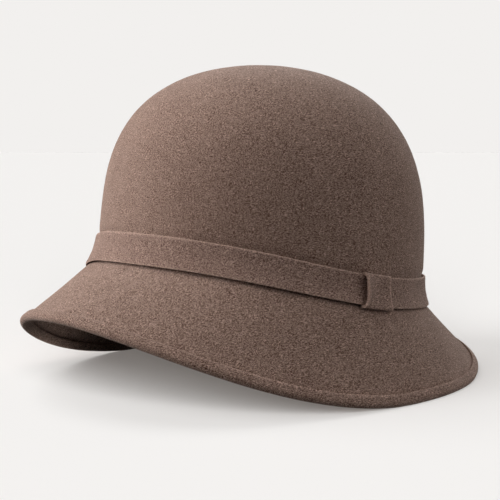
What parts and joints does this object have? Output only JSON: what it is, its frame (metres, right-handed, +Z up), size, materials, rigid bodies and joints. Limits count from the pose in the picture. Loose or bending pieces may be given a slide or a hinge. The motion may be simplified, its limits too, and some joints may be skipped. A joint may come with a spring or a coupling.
{
  "type": "cloche hat",
  "caption": "Felt cloche hat with a rounded crown, a bell-shaped brim that arches up over the face, a plain felt band closed by a felt keeper, and a bound brim edge.",
  "frame": {"origin": "middle of the brim's outline, on the surface that the hat rests on", "axes": "+Z up, -Y towards the front of the hat, +X towards the wearer's left, where the keeper is"},
  "size_m": [0.2308, 0.2828, 0.1765],
  "materials": {
    "body_felt": "matte",
    "binding_felt": "matte",
    "band_felt": "matte",
    "keeper_felt": "matte"
  },
  "bodies": {
    "root": {"felt_body": "body_felt", "brim_binding": "binding_felt", "hat_band": "band_felt", "band_keeper": "keeper_felt"}
  },
  "joints": []
}
